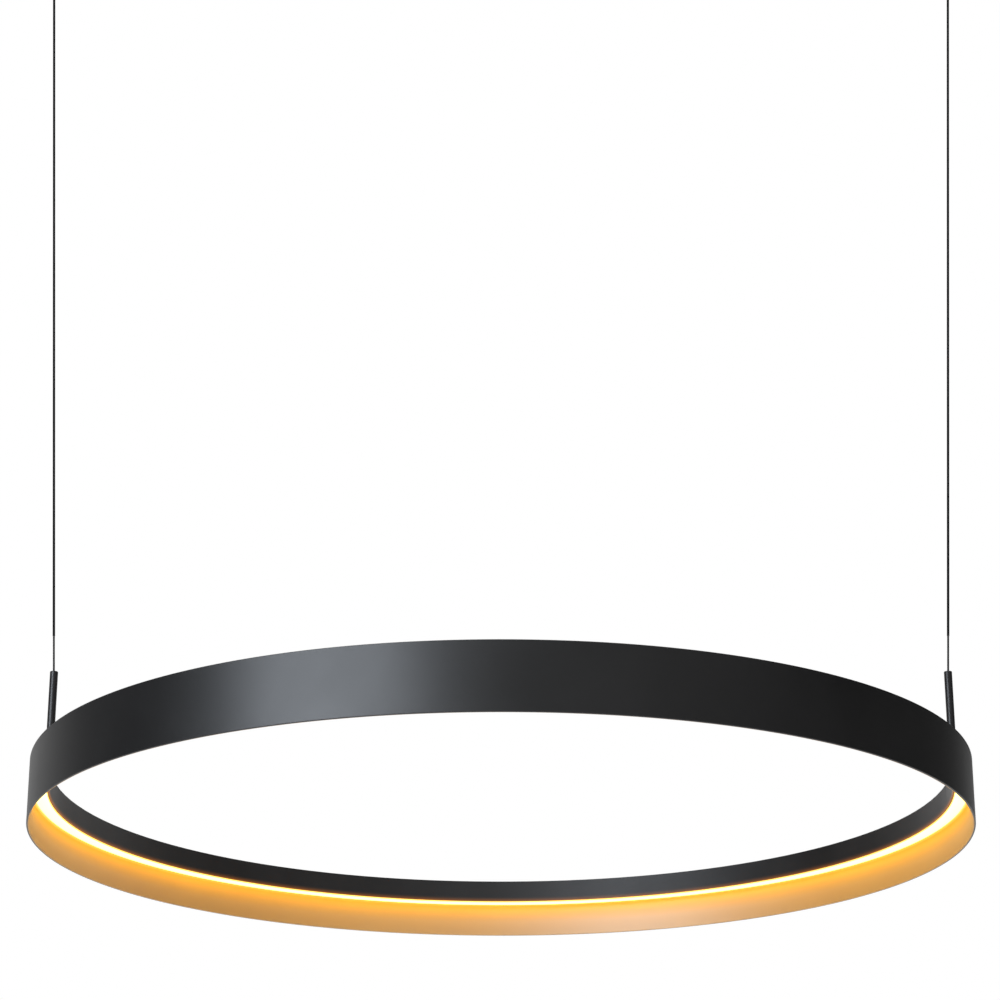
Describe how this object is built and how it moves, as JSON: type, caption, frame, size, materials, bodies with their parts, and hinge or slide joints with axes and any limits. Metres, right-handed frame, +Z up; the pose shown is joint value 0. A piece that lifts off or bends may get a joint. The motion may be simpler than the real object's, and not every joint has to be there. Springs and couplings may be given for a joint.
{
  "type": "ring pendant ceiling lamp",
  "caption": "Slim black ring pendant with a gold inside and a down-facing light strip, hung on wires from rods on the ring to a ceiling bar.",
  "frame": {"origin": "middle of the ceiling bracket's top face, where it meets the ceiling", "axes": "+Z up into the ceiling, X along the ceiling bar and through both rods, Y across the bar"},
  "size_m": [0.913, 0.8, 0.894],
  "materials": {
    "black_coat": "satin black powder coat, gold lacquer on the band's inside",
    "black_metal": "satin black anodised",
    "opal": "opal satin",
    "strip": "white solder mask",
    "chip": "phosphor gel",
    "steel": "bright zinc",
    "block": "moulded insulator",
    "wire": "black sheathed wire",
    "brass": "turned",
    "grommet": "moulded",
    "driver": "moulded white"
  },
  "bodies": {
    "ceiling_bar": {"ceiling_bracket": "steel", "canopy_cover": "black_coat", "canopy_screws": "steel", "driver_case": "driver", "driver_lid": "driver", "driver_screws": "steel", "terminal_block": "block", "terminal_screws": "steel", "mains_grommet": "grommet", "earth_screw": "steel", "lead_clips": "block", "end_cap_left": "black_metal", "end_cap_right": "black_metal", "grip_neck_left": "brass", "grip_neck_right": "brass", "grip_nut_left": "steel", "grip_nut_right": "steel", "grip_body_left": "black_metal", "grip_body_right": "black_metal", "grip_spring_left": "steel", "grip_spring_right": "steel", "wire_tail_left": "wire", "wire_tail_right": "wire"},
    "left_plunger": {"grip_plunger_left": "black_metal", "grip_balls_left": "steel"},
    "right_plunger": {"grip_plunger_right": "black_metal", "grip_balls_right": "steel"},
    "wires": {"suspension_wire_left": "wire", "suspension_wire_right": "wire"},
    "wire_ends": {"wire_ball_left": "brass", "wire_ball_right": "brass"},
    "ring": {"outer_band": "black_coat", "light_channel": "black_coat", "top_cover": "black_coat", "cover_standoffs": "steel", "cover_screws": "steel", "band_studs": "steel", "band_nuts": "steel", "led_strip": "strip", "led_chips": "chip", "diffuser": "opal", "block_screws": "steel", "rod_grub_screws": "steel", "lead_grommets": "grommet", "suspension_block_left": "block", "suspension_block_right": "block", "suspension_rod_left": "black_metal", "suspension_rod_right": "black_metal", "feed_lead_left": "wire", "feed_lead_right": "wire"}
  },
  "joints": [
    {"name": "left_release", "type": "slide", "parent": "ceiling_bar", "child": "left_plunger", "axis": [0, 0, 1], "range_m": [0, 0.0025], "stiffness_N_per_m": 800, "springref_m": -0.002, "deforming": ["grip_spring_left"]},
    {"name": "right_release", "type": "slide", "parent": "ceiling_bar", "child": "right_plunger", "axis": [0, 0, 1], "range_m": [0, 0.0025], "stiffness_N_per_m": 800, "springref_m": -0.002, "deforming": ["grip_spring_right"]},
    {"name": "swing", "type": "hinge", "parent": "ceiling_bar", "child": "wires", "pos_m": [0, 0, -0.056], "axis": [1, 0, 0], "range_deg": [-15, 15]},
    {"name": "height_adjust", "type": "slide", "parent": "wires", "child": "wire_ends", "axis": [0, 0, 1], "range_m": [0, 0.5], "deforming": ["suspension_wire_left", "suspension_wire_right"]},
    {"name": "ring_tilt", "type": "hinge", "parent": "wire_ends", "child": "ring", "pos_m": [0, 0, -0.745], "axis": [1, 0, 0], "range_deg": [-15, 15]}
  ]
}
